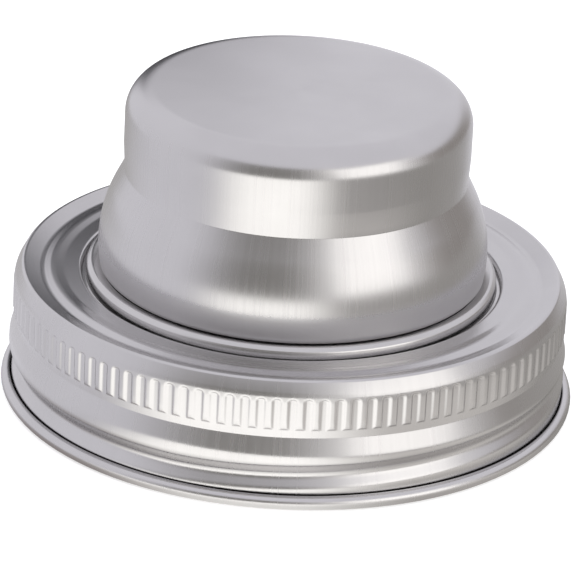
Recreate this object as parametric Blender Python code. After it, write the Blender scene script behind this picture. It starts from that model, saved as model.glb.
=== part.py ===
"""Shaker lid for a regular-mouth jar: screw band, strainer lid, jar seal and cap.

Metres, +Z up. Every piece is turned about the Z axis, and the band's curled foot
stands on the plane z = 0. Angles round the axis start at the front, which is -Y,
and grow towards +X.
"""

from math import asin, atan2, cos, pi, radians, sin, tan

import bmesh
import bpy

TAU = 2.0 * pi

# Fits between the pieces
CLEARANCE = 0.0003
TURNING_CLEARANCE = 0.0004

# Facets round the axis
FACETS = 48
INNER_FACETS = 36
BAND_FACETS = 57
FACETS_PER_RIB = 4

# Screw band: sheet, wall and shoulder
BAND_SHEET = 0.0004
BAND_RADIUS = 0.0363
BAND_HEIGHT = 0.0170
SHOULDER_REACH = 0.0019
SHOULDER_DROP = 0.0028
SHOULDER_ANGLES = (90.0, 62.0, 38.0, 15.5)

# Screw band: its open top and, out from the hole's edge, the rings pressed in it
TOP_WIDTH = 0.0088
LIP_SINK = 0.0005
BEAD_FOOT_OUT = 0.0028
BEAD_OUT = 0.0042
BEAD_RISE = 0.0001
MOAT_OUT = 0.0055
MOAT_SINK = 0.0001

# Screw band: the knurled belt, down from the top, and the crease under it
RIB_COUNT = 114
RIB_HEIGHT = 0.00025
RIB_DROP = 0.0022
RIB_LENGTH = 0.0037
RIB_END = 0.00035
CREASE_DROP = 0.0016
CREASE_DEPTH = 0.00027
WALL_SWELL = 0.0003

# Screw band: the rolled thread, from its start at the back left to its end at the right
THREAD_PITCH = 0.00635
THREAD_DEPTH = 0.0008
THREAD_BELOW_MIDDLE = 0.0010
THREAD_LOWER_FLANK = 0.0010
THREAD_UPPER_FLANK = 0.0013
THREAD_KNEE = 0.45
THREAD_RUNOUT = 0.2
SKIRT_FOOT = 0.0004
THREAD_START = radians(-140.0)
THREAD_LEAD = radians(118.0)
THREAD_SWEEP = radians(245.0)
THREAD_FADE = radians(40.0)

# Screw band: the curled foot
CURL_HOLLOW = 0.000525
CURL_FACETS = 6

# Strainer lid
LID_SHEET = 0.0005
FLANGE_ROOM = 0.0012
FLANGE_SKIRT = 0.0019
FLANGE_CORNER = 0.0007
SEAT_RISE = 0.0017
SEAT_CORNER = 0.0009
COLLAR_HEIGHT = 0.0065
COLLAR_CORNER = 0.0014
CORNER_FACETS = 2
COLLAR_LAND = 0.00183
DISH_SLOPE = 0.0014
DISH_DEPTH = 0.0012
HOLE_DIAMETER = 0.0030
HOLE_WEB = 0.0020
HOLE_MARGIN = 0.0025
HOLE_SIDES = 8

# Jar seal
SEAL_WIDTH = 0.0034
SEAL_THICKNESS = 0.0018
SEAL_EDGE = 0.0003

# Cap
CAP_SHEET = 0.0006
CAP_HEIGHT = 0.0245
BELLY_INSET = 0.0020
BELLY_HEIGHT = 0.0030
BELLY_CURVE = 0.0169
BELLY_FACETS = 6
FLANK_ANGLE = radians(26.5)
RIM_ROUND = 0.0002
WAIST_INSET = 0.0031
WAIST_ROUND = 0.0003
NECK_INSET = 0.0029
CAP_CORNER_REACH = 0.0029
CAP_CORNER_DROP = 0.0043
CAP_CORNER_FACETS = 5

# Sizes that follow: the band's radius sets the radii of all that it holds
CROWN_RADIUS = BAND_RADIUS - SHOULDER_REACH
HOLE_RADIUS = BAND_RADIUS - TOP_WIDTH
LIP_HEIGHT = BAND_HEIGHT - LIP_SINK
RIB_TOP = BAND_HEIGHT - RIB_DROP
RIB_BOTTOM = RIB_TOP - RIB_LENGTH
CREASE_HEIGHT = RIB_BOTTOM - CREASE_DROP
WALL_RADIUS = BAND_RADIUS + WALL_SWELL
CURL_RADIUS = CURL_HOLLOW + BAND_SHEET
CURL_CENTRE = BAND_RADIUS + CURL_HOLLOW
CURL_TOP = CURL_RADIUS + CURL_HOLLOW
THREAD_HEIGHT = (CREASE_HEIGHT + CURL_TOP) / 2.0 - THREAD_BELOW_MIDDLE
FLANGE_RADIUS = WALL_RADIUS - BAND_SHEET - THREAD_DEPTH - FLANGE_ROOM
FLANGE_HEIGHT = LIP_HEIGHT - MOAT_SINK - BAND_SHEET - CLEARANCE
SEAT_RADIUS = HOLE_RADIUS - TURNING_CLEARANCE
SEAT_HEIGHT = FLANGE_HEIGHT + SEAT_RISE
SEAL_RADIUS = FLANGE_RADIUS - LID_SHEET - CLEARANCE
CAP_FOOT = SEAT_HEIGHT + CLEARANCE
BELLY_RADIUS = HOLE_RADIUS - BELLY_INSET
WAIST_RADIUS = BELLY_RADIUS - WAIST_INSET
NECK_RADIUS = BELLY_RADIUS - NECK_INSET
RIM_RADIUS = BELLY_RADIUS - BELLY_CURVE + (BELLY_CURVE**2 - BELLY_HEIGHT**2) ** 0.5
COLLAR_RADIUS = RIM_RADIUS - RIM_ROUND - CAP_SHEET - TURNING_CLEARANCE
DISH_RADIUS = COLLAR_RADIUS - COLLAR_CORNER - COLLAR_LAND
PANEL_RADIUS = DISH_RADIUS - DISH_SLOPE
PANEL_HEIGHT = SEAT_HEIGHT + COLLAR_HEIGHT - DISH_DEPTH
HOLE_SPACING = HOLE_DIAMETER + HOLE_WEB
HOLE_RINGS = int((PANEL_RADIUS - HOLE_MARGIN - HOLE_DIAMETER / 2.0) / HOLE_SPACING)


def clear_scene():
    for item in list(bpy.data.objects):
        bpy.data.objects.remove(item, do_unlink=True)


def bend(centre, radius, start, end, facets):
    """Corners of a faceted bend whose flats touch the true arc, so it runs on into straights."""
    step = (end - start) / facets
    reach = radius / cos(step / 2.0)
    points = []
    for index in range(facets):
        angle = start + (index + 0.5) * step
        points.append((centre[0] + reach * cos(angle), centre[1] + reach * sin(angle)))
    return points


def rounded_edge(radius, height, corner):
    """The edge of a turned piece, from its wall at a radius over to its top at a height."""
    return bend((radius - corner, height - corner), corner, 0.0, pi / 2.0, CORNER_FACETS)


def offset_outline(outline, thickness):
    """The far side of a sheet, on the right of its near side's outline, or on the left if negative."""
    far = []
    for index, here in enumerate(outline):
        before = outline[max(index - 1, 0)]
        after = outline[min(index + 1, len(outline) - 1)]
        headings = []
        for first, second in ((before, here), (here, after)):
            if first is not second:
                headings.append(atan2(second[1] - first[1], second[0] - first[0]))
        turn = (headings[-1] - headings[0] + pi) % TAU - pi
        normal = headings[0] + turn / 2.0 - pi / 2.0
        reach = thickness / cos(turn / 2.0)
        far.append((here[0] + reach * cos(normal), here[1] + reach * sin(normal)))
    return far


def add_rings(mesh, outline_at, counts):
    """One ring of corners for each point of an outline that may change round the axis."""
    rings = []
    for row, count in enumerate(counts):
        ring = []
        for index in range(count):
            angle = TAU * index / count
            radius, height = outline_at(angle)[row]
            ring.append(mesh.verts.new((radius * sin(angle), -radius * cos(angle), height)))
        rings.append(ring)
    return rings


def stitch(mesh, first, second):
    """Triangles between two rings, which may differ in their number of corners."""
    i = 0
    j = 0
    while i < len(first) or j < len(second):
        if (i + 1) * len(second) <= (j + 1) * len(first):
            corners = (first[i], first[(i + 1) % len(first)], second[j % len(second)])
            i += 1
        else:
            corners = (first[i % len(first)], second[(j + 1) % len(second)], second[j])
            j += 1
        mesh.faces.new(corners)


def stitch_all(mesh, rings):
    for first, second in zip(rings, rings[1:]):
        stitch(mesh, first, second)


def finish_object(name, mesh, foot, material, sharp_angle=35.0):
    """An object from a mesh in part coordinates, with its origin on the axis at its foot."""
    bmesh.ops.translate(mesh, verts=mesh.verts, vec=(0.0, 0.0, -foot))
    bmesh.ops.recalc_face_normals(mesh, faces=mesh.faces)
    data = bpy.data.meshes.new(name)
    mesh.to_mesh(data)
    mesh.free()
    data.shade_smooth()
    data.set_sharp_from_angle(angle=radians(sharp_angle))
    data.materials.append(material)
    item = bpy.data.objects.new(name, data)
    item.location = (0.0, 0.0, foot)
    bpy.context.scene.collection.objects.link(item)
    return item


def make_cover(name, outline, thickness, foot, material):
    """A drawn sheet cover: its outline runs from its rim up and in to a flat middle."""
    inside = offset_outline(outline, -thickness)
    mesh = bmesh.new()
    outer = add_rings(mesh, lambda angle: outline, [FACETS] * len(outline))
    inner = add_rings(mesh, lambda angle: inside, [INNER_FACETS] * len(inside))
    stitch_all(mesh, outer)
    stitch_all(mesh, inner)
    stitch(mesh, outer[0], inner[0])
    mesh.faces.new(outer[-1])
    mesh.faces.new(inner[-1])
    return finish_object(name, mesh, foot, material)


def make_material(name, colour, metallic, roughness):
    material = bpy.data.materials.new(name)
    material.use_nodes = True
    shader = material.node_tree.nodes["Principled BSDF"]
    shader.inputs["Base Color"].default_value = (*colour, 1.0)
    shader.inputs["Metallic"].default_value = metallic
    shader.inputs["Roughness"].default_value = roughness
    return material


def rib_rise(angle):
    """A rib is flat on top for a quarter of its pitch, and the valley beside it is as wide."""
    phase = (angle * RIB_COUNT / TAU) % 1.0
    down_the_side = (abs(phase - 0.375) - 0.125) / 0.25
    return RIB_HEIGHT * (1.0 - min(max(down_the_side, 0.0), 1.0))


def thread_climb(angle):
    """How far the thread has climbed; past its end the wall settles back to its start."""
    turn = (angle - THREAD_START) % TAU
    if turn <= THREAD_SWEEP:
        return THREAD_PITCH * max(turn - THREAD_LEAD, 0.0) / TAU
    end = THREAD_PITCH * (THREAD_SWEEP - THREAD_LEAD) / TAU
    return end * (TAU - turn) / (TAU - THREAD_SWEEP)


def thread_depth(angle):
    """Full along the thread, running out smoothly to nothing at both ends."""
    turn = (angle - THREAD_START) % TAU
    along = min(turn, THREAD_SWEEP - turn) / THREAD_FADE
    along = min(max(along, 0.0), 1.0)
    return THREAD_DEPTH * along * along * (3.0 - 2.0 * along)


def band_top():
    """From the hole's edge over the pressed rings and the crown, down to the top of the ribs."""
    points = [
        (HOLE_RADIUS, LIP_HEIGHT),
        (HOLE_RADIUS + BEAD_FOOT_OUT, LIP_HEIGHT),
        (HOLE_RADIUS + BEAD_OUT, LIP_HEIGHT + BEAD_RISE),
        (HOLE_RADIUS + MOAT_OUT, LIP_HEIGHT - MOAT_SINK),
    ]
    for degrees in SHOULDER_ANGLES:
        reach = SHOULDER_REACH * cos(radians(degrees))
        rise = SHOULDER_DROP * sin(radians(degrees))
        points.append((CROWN_RADIUS + reach, BAND_HEIGHT - SHOULDER_DROP + rise))
    return points


def band_belt(angle):
    """Down the ribs to the crease under them."""
    rib_radius = BAND_RADIUS + rib_rise(angle)
    return [
        (rib_radius, RIB_TOP),
        (rib_radius, RIB_BOTTOM),
        (BAND_RADIUS, RIB_BOTTOM - RIB_END),
        (BAND_RADIUS - CREASE_DEPTH, CREASE_HEIGHT),
    ]


def band_wall(angle):
    """From under the crease out to the swollen wall, over the thread and down to the curl."""
    root = THREAD_HEIGHT + thread_climb(angle)
    depth = thread_depth(angle)
    upper = root + THREAD_UPPER_FLANK
    return [
        (WALL_RADIUS, (upper + CREASE_HEIGHT) / 2.0),
        (WALL_RADIUS, upper),
        (WALL_RADIUS - depth * (1.0 - THREAD_KNEE), root + THREAD_UPPER_FLANK * THREAD_KNEE),
        (WALL_RADIUS - depth, root),
        (WALL_RADIUS - depth * THREAD_RUNOUT, root - THREAD_LOWER_FLANK),
        (WALL_RADIUS, CURL_TOP + SKIRT_FOOT),
    ]


def band_curl():
    """From the foot of the wall out, up and back towards it, on the hollow side of the curl."""
    curl = bend((CURL_CENTRE, CURL_RADIUS), CURL_HOLLOW, pi, 2.5 * pi, CURL_FACETS)
    return curl + [(CURL_CENTRE, CURL_TOP)]


def band_outline(angle):
    return band_top() + band_belt(angle) + band_wall(angle) + band_curl()


def band_inside(angle):
    """The sheet's inner side: the ribs don't show through it, and the thread does."""
    belt = [(min(radius, BAND_RADIUS), height) for radius, height in band_belt(angle)]
    return offset_outline(band_top() + belt + band_wall(angle) + band_curl(), BAND_SHEET)


def make_screw_band(material):
    counts = [BAND_FACETS] * len(band_outline(0.0))
    inner_counts = [FACETS] * len(counts)
    first_rib_row = len(band_top())
    counts[first_rib_row] = RIB_COUNT * FACETS_PER_RIB
    counts[first_rib_row + 1] = RIB_COUNT * FACETS_PER_RIB
    mesh = bmesh.new()
    outer = add_rings(mesh, band_outline, counts)
    inner = add_rings(mesh, band_inside, inner_counts)
    stitch_all(mesh, outer)
    stitch_all(mesh, inner)
    stitch(mesh, outer[0], inner[0])
    stitch(mesh, outer[-1], inner[-1])
    return finish_object("screw_band", mesh, 0.0, material)


def lid_outline():
    """From the lower edge of the lid's skirt, over flange, seat and collar, in to its dish."""
    return [
        (FLANGE_RADIUS, FLANGE_HEIGHT - FLANGE_SKIRT),
        *rounded_edge(FLANGE_RADIUS, FLANGE_HEIGHT, FLANGE_CORNER),
        (SEAT_RADIUS, FLANGE_HEIGHT),
        *rounded_edge(SEAT_RADIUS, SEAT_HEIGHT, SEAT_CORNER),
        (COLLAR_RADIUS, SEAT_HEIGHT),
        *rounded_edge(COLLAR_RADIUS, SEAT_HEIGHT + COLLAR_HEIGHT, COLLAR_CORNER),
        (DISH_RADIUS, SEAT_HEIGHT + COLLAR_HEIGHT),
        (PANEL_RADIUS, PANEL_HEIGHT),
    ]


def hole_places():
    """A middle hole, then as many rings of six, twelve and so on as the panel has room for."""
    places = [(0.0, 0.0)]
    for ring in range(1, HOLE_RINGS + 1):
        for index in range(6 * ring):
            angle = TAU * index / (6 * ring)
            places.append((ring * HOLE_SPACING * cos(angle), ring * HOLE_SPACING * sin(angle)))
    return places


def make_hole_cutter(foot):
    """One object with a drill for each hole, all of them longer than the sheet is thick."""
    mesh = bmesh.new()
    for x, y in hole_places():
        drill = bmesh.ops.create_cone(
            mesh,
            cap_ends=True,
            segments=HOLE_SIDES,
            radius1=HOLE_DIAMETER / 2.0,
            radius2=HOLE_DIAMETER / 2.0,
            depth=LID_SHEET * 4.0,
        )
        middle = PANEL_HEIGHT - LID_SHEET / 2.0 - foot
        bmesh.ops.translate(mesh, verts=drill["verts"], vec=(x, y, middle))
    data = bpy.data.meshes.new("strainer_hole_cutter")
    mesh.to_mesh(data)
    mesh.free()
    cutter = bpy.data.objects.new("strainer_hole_cutter", data)
    cutter.location = (0.0, 0.0, foot)
    cutter.hide_render = True
    cutter.display_type = "WIRE"
    bpy.context.scene.collection.objects.link(cutter)
    return cutter


def make_strainer_lid(material):
    foot = FLANGE_HEIGHT - FLANGE_SKIRT
    lid = make_cover("strainer_lid", lid_outline(), LID_SHEET, foot, material)
    holes = lid.modifiers.new("strainer_holes", "BOOLEAN")
    holes.operation = "DIFFERENCE"
    holes.solver = "EXACT"
    holes.object = make_hole_cutter(foot)
    return lid


def make_jar_seal(material):
    """A flat ring with softened edges that lies in the lid's skirt, under its flange."""
    top = FLANGE_HEIGHT - LID_SHEET - CLEARANCE
    bottom = top - SEAL_THICKNESS
    inner_radius = SEAL_RADIUS - SEAL_WIDTH
    section = [
        (inner_radius + SEAL_EDGE, top),
        (SEAL_RADIUS - SEAL_EDGE, top),
        (SEAL_RADIUS, top - SEAL_EDGE),
        (SEAL_RADIUS, bottom + SEAL_EDGE),
        (SEAL_RADIUS - SEAL_EDGE, bottom),
        (inner_radius + SEAL_EDGE, bottom),
        (inner_radius, bottom + SEAL_EDGE),
        (inner_radius, top - SEAL_EDGE),
    ]
    mesh = bmesh.new()
    rings = add_rings(mesh, lambda angle: section, [INNER_FACETS] * len(section))
    stitch_all(mesh, rings)
    stitch(mesh, rings[-1], rings[0])
    return finish_object("jar_seal", mesh, bottom, material)


def cap_outline():
    """From the cap's rim over its belly, waist and neck to its flat top."""
    centre_r = BELLY_RADIUS - BELLY_CURVE
    centre_z = CAP_FOOT + BELLY_HEIGHT
    rim_angle = -asin((BELLY_HEIGHT - RIM_ROUND) / BELLY_CURVE)
    points = [(RIM_RADIUS - RIM_ROUND, CAP_FOOT)]
    for index in range(BELLY_FACETS + 1):
        angle = rim_angle + (FLANK_ANGLE - rim_angle) * index / BELLY_FACETS
        points.append((centre_r + BELLY_CURVE * cos(angle), centre_z + BELLY_CURVE * sin(angle)))
    flank_r, flank_z = points[-1]
    waist_z = flank_z + (flank_r - WAIST_RADIUS) / tan(FLANK_ANGLE)
    points += [
        (WAIST_RADIUS + WAIST_ROUND * tan(FLANK_ANGLE), waist_z - WAIST_ROUND),
        (WAIST_RADIUS, waist_z + WAIST_ROUND),
    ]
    for index in range(CAP_CORNER_FACETS + 1):
        angle = pi / 2.0 * index / CAP_CORNER_FACETS
        radius = NECK_RADIUS - CAP_CORNER_REACH * (1.0 - cos(angle))
        points.append((radius, CAP_FOOT + CAP_HEIGHT - CAP_CORNER_DROP * (1.0 - sin(angle))))
    return points


def main():
    clear_scene()
    band_steel = make_material("band_steel", (0.66, 0.65, 0.66), 1.0, 0.30)
    lid_steel = make_material("lid_steel", (0.62, 0.62, 0.62), 1.0, 0.25)
    cap_steel = make_material("cap_steel", (0.64, 0.63, 0.65), 1.0, 0.32)
    seal_rubber = make_material("seal_rubber", (0.80, 0.80, 0.78), 0.0, 0.55)
    make_screw_band(band_steel)
    make_strainer_lid(lid_steel)
    make_jar_seal(seal_rubber)
    make_cover("cap", cap_outline(), CAP_SHEET, CAP_FOOT, cap_steel)


main()
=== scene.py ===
"""Looks of the shaker lid: a knurled screw band, its strainer lid and seal, and the bell-shaped cap."""

from math import asin, atan2, ceil, cos, pi, radians, sin, tan, tau

import bmesh
import bpy
from mathutils import Matrix, Vector


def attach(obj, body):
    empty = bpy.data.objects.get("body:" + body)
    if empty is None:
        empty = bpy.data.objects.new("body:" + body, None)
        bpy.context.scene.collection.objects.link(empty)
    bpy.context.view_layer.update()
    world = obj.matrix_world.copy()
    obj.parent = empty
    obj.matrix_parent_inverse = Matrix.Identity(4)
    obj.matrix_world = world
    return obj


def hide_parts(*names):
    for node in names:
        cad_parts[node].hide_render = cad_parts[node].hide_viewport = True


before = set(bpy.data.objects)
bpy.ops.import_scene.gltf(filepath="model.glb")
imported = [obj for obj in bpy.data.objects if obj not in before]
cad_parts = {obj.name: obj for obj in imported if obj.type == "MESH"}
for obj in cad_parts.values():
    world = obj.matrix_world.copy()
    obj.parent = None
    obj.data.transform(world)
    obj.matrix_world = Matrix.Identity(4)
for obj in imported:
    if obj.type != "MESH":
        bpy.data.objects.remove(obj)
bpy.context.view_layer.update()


# Camera
# A long lens, a little above the lid and turned a few degrees on its own axis, as the
# photograph was taken. Its place is given from the lid's axis, in front of which it stands.

CAMERA_DISTANCE = 0.65554
CAMERA_ELEVATION = radians(23.416)
CAMERA_ROLL = radians(-2.919)
AIM_HEIGHT = 0.020
FRAME_PIXELS = 576
FOCAL_PIXELS = 5000
AIM_RIGHT_PIXELS = 2.536
AIM_UP_PIXELS = -40.976

lens_data = bpy.data.cameras.new("photo_camera")
lens_data.sensor_width = 36.0
lens_data.lens = FOCAL_PIXELS / FRAME_PIXELS * lens_data.sensor_width
lens_data.clip_start = 0.01
lens_data.clip_end = 20.0
photo_camera = bpy.data.objects.new("photo_camera", lens_data)
bpy.context.scene.collection.objects.link(photo_camera)

camera_place = Vector(
    (
        0.0,
        -CAMERA_DISTANCE * cos(CAMERA_ELEVATION),
        AIM_HEIGHT + CAMERA_DISTANCE * sin(CAMERA_ELEVATION),
    )
)
level_right = Vector((1.0, 0.0, 0.0))
level_forward = Vector((0.0, cos(CAMERA_ELEVATION), -sin(CAMERA_ELEVATION)))
level_up = level_right.cross(level_forward)
aim = level_forward - level_right * (AIM_RIGHT_PIXELS / FOCAL_PIXELS)
aim = (aim + level_up * (AIM_UP_PIXELS / FOCAL_PIXELS)).normalized()
aim_right = aim.cross(Vector((0.0, 0.0, 1.0))).normalized()
aim_up = aim_right.cross(aim)
camera_right = aim_right * cos(CAMERA_ROLL) - aim_up * sin(CAMERA_ROLL)
camera_up = aim_right * sin(CAMERA_ROLL) + aim_up * cos(CAMERA_ROLL)
turned = Matrix((camera_right, camera_up, -aim)).transposed().to_4x4()
photo_camera.matrix_world = Matrix.Translation(camera_place) @ turned
bpy.context.scene.camera = photo_camera
bpy.context.scene.view_settings.view_transform = "Standard"


# Studio
# A wide pale floor and a white backdrop in a soft grey room. One broad lamp stands low on the
# right, and the room is darker in front and at the right behind. What the metal mirrors of the
# floor is painted: a pool of light in front, light close to the lid on the right, and shade
# beside and under the lid. A sector round the lid is (middle, half width, softness), in degrees
# from the front.

WHITE = (1.0, 1.0, 1.0, 1.0)
FLOOR_COLOUR = (0.80, 0.80, 0.80, 1.0)
FLOOR_GLOW_SEEN = 0.55
FLOOR_HALF_SIDE = 6.0
ROOM_GREY = (0.87, 0.86, 0.91, 1.0)
DARK_FRONT = (0.30, 0.29, 0.275, 1.0)
DARK_FRONT_SECTOR = (-14.0, 34.0, 22.0)
DARK_BEHIND = (0.37, 0.345, 0.325, 1.0)
DARK_BEHIND_SECTOR = (116.0, 36.0, 16.0)
DARK_TOP = 35.0
LOW_DARK_SECTOR = (130.0, 50.0, 8.0)
LOW_DARK_TOP = 16.0
DARK_TOP_SOFTNESS = 6.0
LAMP_HALO = (1.0, 0.98, 0.95, 1.0)
LAMP_HALO_SECTOR = (48.0, 30.0, 22.0)
FLOOR_GREY = (0.47, 0.455, 0.44, 1.0)
FLOOR_GREY_REACH = 0.30
FLOOR_RIGHT = (0.42, 0.405, 0.385, 1.0)
FLOOR_RIGHT_SECTOR = (82.0, 22.0, 20.0)
FLOOR_LEFT = (0.87, 0.86, 0.91, 1.0)
FLOOR_LEFT_SECTOR = (-82.0, 46.0, 32.0)
FLOOR_BEHIND_SECTOR = (165.0, 28.0, 20.0)
# Painted light on the floor close to the lid at the right, seen only in the metal's reflections
FLOOR_LIT_NEAR_LID = (0.85, 0.82, 0.78, 1.0)
FLOOR_LIT_NEAR_LID_SECTOR = (40.0, 30.0, 26.0)
FLOOR_LIT_NEAR_LID_REACH = 0.080
# A painted pool of light on the floor in front
FLOOR_LIGHT_POOL = (1.70, 1.68, 1.62, 1.0)
FLOOR_LIGHT_POOL_SECTOR = (-12.5, 29.5, 15.0)
# Painted shade on the floor beside the lid, on the left
FLOOR_SHADE = (0.50, 0.445, 0.43, 1.0)
FLOOR_SHADE_SECTOR = (-50.0, 24.0, 18.0)
FLOOR_SHADE_REACH = 0.0415
# Painted shade on the floor right by the lid: its strength there, and where it fades out
FLOOR_SHADE_UNDER_LID = 0.65
UNDER_LID_REACH = 0.036
UNDER_LID_END = 0.046
LAMP_AZIMUTH = radians(48.0)
LAMP_ELEVATION = radians(17.0)
LAMP_DISTANCE = 0.90
LAMP_WIDTH = 0.72
LAMP_HEIGHT = 0.56
LAMP_WATTS = 0.93
LAMP_COLOUR = (1.0, 0.985, 0.955)
FILL_ELEVATION = radians(85.0)
FILL_DISTANCE = 1.2
FILL_SIDE = 1.0
FILL_WATTS = 2.2
CARD_COLOUR = (0.03, 0.03, 0.035, 1.0)
CARD_BEHIND = 0.100
CARD_SIDES = (-0.070, 0.012)
CARD_ENDS = (0.002, 0.092)
CARD_FADES = {
    "left": (-0.066, -0.045),
    "right": (-0.022, 0.008),
    "foot": (0.004, 0.018),
    "head": (0.060, 0.086),
}


def connect(tree, source, target):
    """Links two sockets, or writes a plain number or colour into the second."""
    if isinstance(source, bpy.types.NodeSocket):
        tree.links.new(source, target)
    else:
        target.default_value = source


def arithmetic(tree, operation, first, second=0.0, third=0.0):
    """The result of a Math node, in a material, world or geometry tree."""
    node = tree.nodes.new("ShaderNodeMath")
    node.operation = operation
    for socket, value in zip(node.inputs, (first, second, third)):
        connect(tree, value, socket)
    return node.outputs[0]


def smooth_between(tree, value, low, high, from_value=0.0, to_value=1.0):
    """A smooth step of a value from one number to another."""
    node = tree.nodes.new("ShaderNodeMapRange")
    node.interpolation_type = "SMOOTHSTEP"
    for name, setting in (
        ("Value", value),
        ("From Min", low),
        ("From Max", high),
        ("To Min", from_value),
        ("To Max", to_value),
    ):
        connect(tree, setting, node.inputs[name])
    return node.outputs["Result"]


def blend_colours(tree, factor, first, second):
    """The first colour at a factor of 0 and the second at 1."""
    node = tree.nodes.new("ShaderNodeMix")
    node.data_type = "RGBA"
    connect(tree, factor, node.inputs["Factor"])
    connect(tree, first, node.inputs["A"])
    connect(tree, second, node.inputs["B"])
    return node.outputs["Result"]


def azimuth_of(tree, x, y):
    """0 towards the front and a right angle towards the right."""
    return arithmetic(tree, "ARCTAN2", x, arithmetic(tree, "MULTIPLY", y, -1.0))


def in_sector(tree, azimuth, sector):
    """1 inside a sector round the lid, with soft sides."""
    middle, half_width, softness = sector
    away = arithmetic(tree, "SUBTRACT", azimuth, radians(middle))
    away = arithmetic(tree, "ABSOLUTE", arithmetic(tree, "WRAP", away, pi, -pi))
    near, far = radians(half_width - softness), radians(half_width + softness)
    return smooth_between(tree, away, near, far, 1.0, 0.0)


def toned_sectors(tree, azimuth, colour, tones):
    """A colour with others laid over it in turn, each in its own sector."""
    for tone, sector in tones:
        colour = blend_colours(tree, in_sector(tree, azimuth, sector), colour, tone)
    return colour


def room_at_lid_height(tree, azimuth):
    """The room's colour all round the lid, without the lamp."""
    tones = (
        (DARK_BEHIND, DARK_BEHIND_SECTOR),
        (DARK_FRONT, DARK_FRONT_SECTOR),
        (LAMP_HALO, LAMP_HALO_SECTOR),
    )
    return toned_sectors(tree, azimuth, ROOM_GREY, tones)


def object_place(tree):
    """Where a point of the piece is, as X, Y and Z."""
    place = tree.nodes.new("ShaderNodeTexCoord")
    parts = tree.nodes.new("ShaderNodeSeparateXYZ")
    connect(tree, place.outputs["Object"], parts.inputs["Vector"])
    return parts.outputs["X"], parts.outputs["Y"], parts.outputs["Z"]


def distance_from_axis(tree, x, y):
    across = arithmetic(tree, "MULTIPLY", x, x)
    return arithmetic(tree, "SQRT", arithmetic(tree, "MULTIPLY_ADD", y, y, across))


def blank_material(name):
    """A material whose tree holds nothing yet."""
    finish = bpy.data.materials.new(name)
    finish.use_nodes = True
    finish.node_tree.nodes.clear()
    return finish


def choose_shader(tree, factor, first, second, output_type):
    """Sends the first shader to the output at a factor of 0, and the second at 1."""
    choice = tree.nodes.new("ShaderNodeMixShader")
    out = tree.nodes.new(output_type)
    for socket, source in zip(choice.inputs, (factor, first, second)):
        connect(tree, source, socket)
    connect(tree, choice.outputs["Shader"], out.inputs["Surface"])


floor_mesh = bpy.data.meshes.new("studio_floor")
corner = FLOOR_HALF_SIDE
floor_mesh.from_pydata(
    [(-corner, -corner, 0.0), (corner, -corner, 0.0), (corner, corner, 0.0), (-corner, corner, 0.0)],
    [],
    [(0, 1, 2, 3)],
)
studio_floor = bpy.data.objects.new("studio_floor", floor_mesh)
bpy.context.scene.collection.objects.link(studio_floor)

floor_finish = blank_material("pale_studio_floor")
tree = floor_finish.node_tree
ray = tree.nodes.new("ShaderNodeLightPath")
x, y, z = object_place(tree)
far_out = distance_from_axis(tree, x, y)
azimuth = azimuth_of(tree, x, y)
matt = tree.nodes.new("ShaderNodeBsdfDiffuse")
matt.inputs["Color"].default_value = FLOOR_COLOUR
glow = tree.nodes.new("ShaderNodeEmission")
glow.inputs["Color"].default_value = WHITE
seen_glow = arithmetic(tree, "MULTIPLY", ray.outputs["Is Camera Ray"], FLOOR_GLOW_SEEN)
connect(tree, seen_glow, glow.inputs["Strength"])
seen = tree.nodes.new("ShaderNodeAddShader")
connect(tree, matt.outputs["BSDF"], seen.inputs[0])
connect(tree, glow.outputs["Emission"], seen.inputs[1])

# What the metal mirrors of the floor, all painted light and shade: its tones round the lid, then those
# close to it
side_tones = (
    (FLOOR_RIGHT, FLOOR_RIGHT_SECTOR),
    (FLOOR_LEFT, FLOOR_LEFT_SECTOR),
    (FLOOR_LEFT, FLOOR_BEHIND_SECTOR),
)
near_colour = toned_sectors(tree, azimuth, FLOOR_GREY, side_tones)
# Painted light on the floor close to the lid at the right, standing in for the lamp's spill
near_lid = smooth_between(tree, far_out, FLOOR_LIT_NEAR_LID_REACH * 0.8, FLOOR_LIT_NEAR_LID_REACH * 1.2, 1.0, 0.0)
lit_near_lid = arithmetic(tree, "MULTIPLY", in_sector(tree, azimuth, FLOOR_LIT_NEAR_LID_SECTOR), near_lid)
near_colour = blend_colours(tree, lit_near_lid, near_colour, FLOOR_LIT_NEAR_LID)
# A painted pool of light on the floor in front, seen only in reflections
near_colour = toned_sectors(tree, azimuth, near_colour, [(FLOOR_LIGHT_POOL, FLOOR_LIGHT_POOL_SECTOR)])
# Painted shade on the floor beside the lid on the left, where its shadow would fall
beside_lid = smooth_between(tree, far_out, FLOOR_SHADE_REACH * 0.85, FLOOR_SHADE_REACH * 1.1, 1.0, 0.0)
shaded = arithmetic(tree, "MULTIPLY", in_sector(tree, azimuth, FLOOR_SHADE_SECTOR), beside_lid)
near_colour = blend_colours(tree, shaded, near_colour, FLOOR_SHADE)
fade = smooth_between(tree, far_out, FLOOR_GREY_REACH * 0.5, FLOOR_GREY_REACH * 1.5)
floor_tone = blend_colours(tree, fade, near_colour, room_at_lid_height(tree, azimuth))
mirrored = tree.nodes.new("ShaderNodeEmission")
connect(tree, floor_tone, mirrored.inputs["Color"])
# Painted shade on the floor all round the lid's foot
lid_shade = smooth_between(tree, far_out, UNDER_LID_REACH, UNDER_LID_END, FLOOR_SHADE_UNDER_LID, 1.0)
connect(tree, lid_shade, mirrored.inputs["Strength"])
choose_shader(
    tree,
    ray.outputs["Is Glossy Ray"],
    seen.outputs["Shader"],
    mirrored.outputs["Emission"],
    "ShaderNodeOutputMaterial",
)
floor_mesh.materials.append(floor_finish)

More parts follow.
